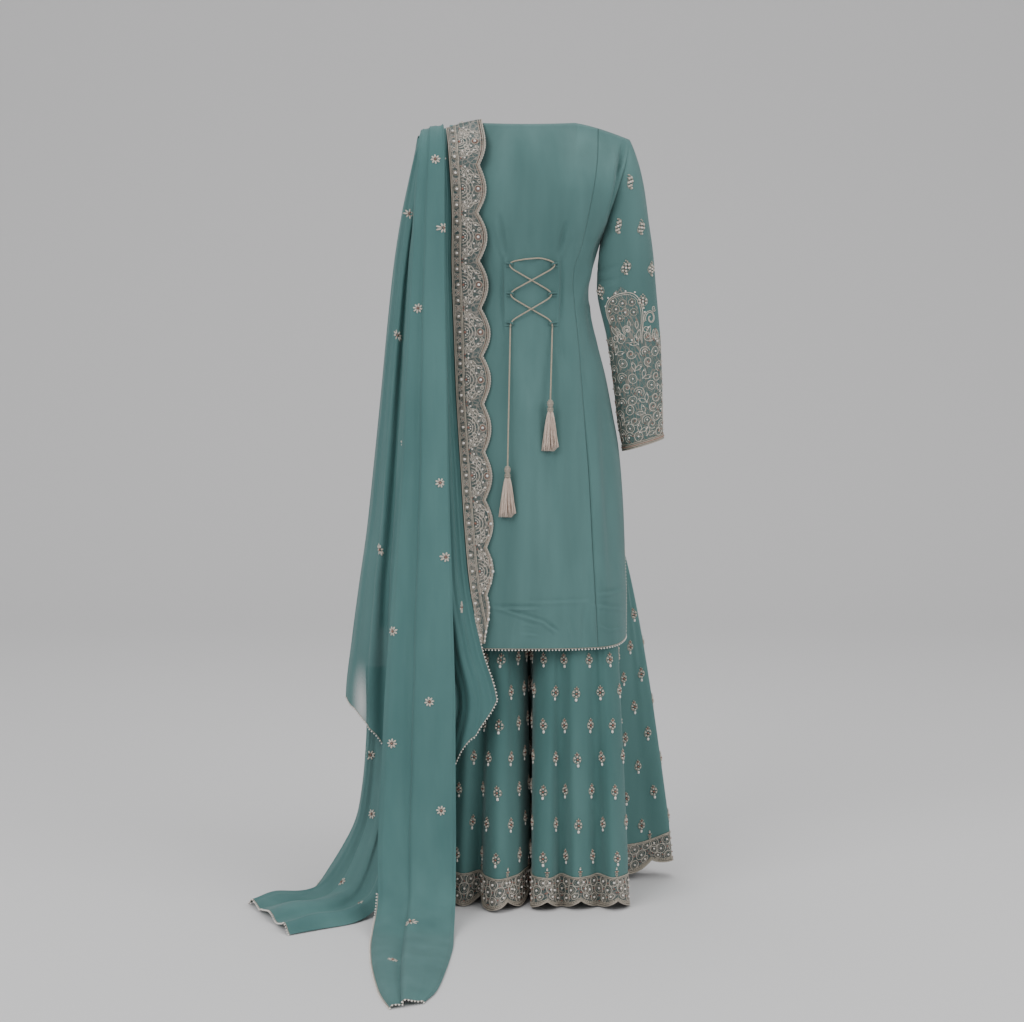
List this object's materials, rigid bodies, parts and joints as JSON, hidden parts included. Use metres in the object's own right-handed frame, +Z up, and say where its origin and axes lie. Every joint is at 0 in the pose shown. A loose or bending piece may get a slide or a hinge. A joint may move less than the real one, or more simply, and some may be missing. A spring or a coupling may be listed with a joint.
{
  "type": "gharara suit",
  "caption": "Worn teal gharara suit: back-laced long-sleeved kameez, flared gharara with scalloped hems, and a sheer dupatta with a scalloped border over the left shoulder.",
  "frame": {"origin": "between the shoulders at the neck opening, level with the shoulder seams' neck ends, where the wearer holds the suit up", "axes": "+Z up, -Y out of the wearer's back (the side the picture shows), +Y out of the chest, +X to the wearer's right hand"},
  "size_m": [0.7963, 0.9645, 1.4453],
  "materials": {
    "kameez_cloth": "matte crepe with a soft sheen",
    "gharara_cloth": "fluid matte crepe",
    "dupatta_cloth": "semi-sheer chiffon",
    "embroidered_band": "dense metallic thread work with pearls",
    "lace_cord": "twisted silk cord",
    "tassel_silk": "glossy floss"
  },
  "bodies": {
    "root": {"kameez_centre_back": "kameez_cloth", "kameez_side_back_left": "kameez_cloth", "kameez_side_back_right": "kameez_cloth", "kameez_front": "kameez_cloth", "sleeve_left": "kameez_cloth", "sleeve_right": "kameez_cloth", "lace_loop_left_top": "kameez_cloth", "lace_loop_left_middle": "kameez_cloth", "lace_loop_left_bottom": "kameez_cloth", "lace_loop_right_top": "kameez_cloth", "lace_loop_right_middle": "kameez_cloth", "lace_loop_right_bottom": "kameez_cloth", "lace_crossing": "lace_cord", "lace_end_left": "lace_cord", "lace_end_right": "lace_cord", "tassel_left": "tassel_silk", "tassel_right": "tassel_silk", "gharara_waistband": "gharara_cloth", "gharara_upper_leg_left": "gharara_cloth", "gharara_upper_leg_right": "gharara_cloth", "gharara_flare_left": "gharara_cloth", "gharara_flare_right": "gharara_cloth", "gharara_hem_band_left": "embroidered_band", "gharara_hem_band_right": "embroidered_band", "dupatta_back_fall": "dupatta_cloth", "dupatta_centre_fall": "dupatta_cloth", "dupatta_side_tail": "dupatta_cloth", "dupatta_front_fall": "dupatta_cloth", "dupatta_border": "embroidered_band"}
  },
  "joints": []
}
